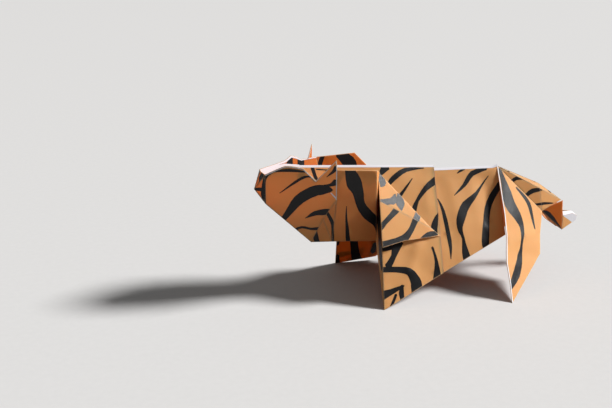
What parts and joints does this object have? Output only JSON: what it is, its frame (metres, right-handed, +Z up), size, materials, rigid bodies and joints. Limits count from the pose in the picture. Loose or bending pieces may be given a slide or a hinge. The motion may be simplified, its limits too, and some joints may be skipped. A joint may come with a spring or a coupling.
{
  "type": "origami tiger",
  "caption": "Tiger folded from a square of stripe-printed paper, standing on its feet, with a hooded head, creased flanks and a bent tail.",
  "frame": {"origin": "bottom centre of the bounding box, on the surface that the feet stand on", "axes": "+X along the body from the nose to the tail, +Y to the tiger's right side, +Z up; the fold along the back lies in Y = 0"},
  "size_m": [0.0968, 0.0464, 0.039],
  "materials": {
    "printed_paper": "matt uncoated paper, printed orange",
    "black_print": "matt black print on paper, with a faint sheen",
    "white_paper": "matt white unprinted paper"
  },
  "bodies": {
    "root": {"folded_sheet": "printed_paper", "stripe_print": "black_print", "white_reverse": "white_paper"}
  },
  "joints": []
}
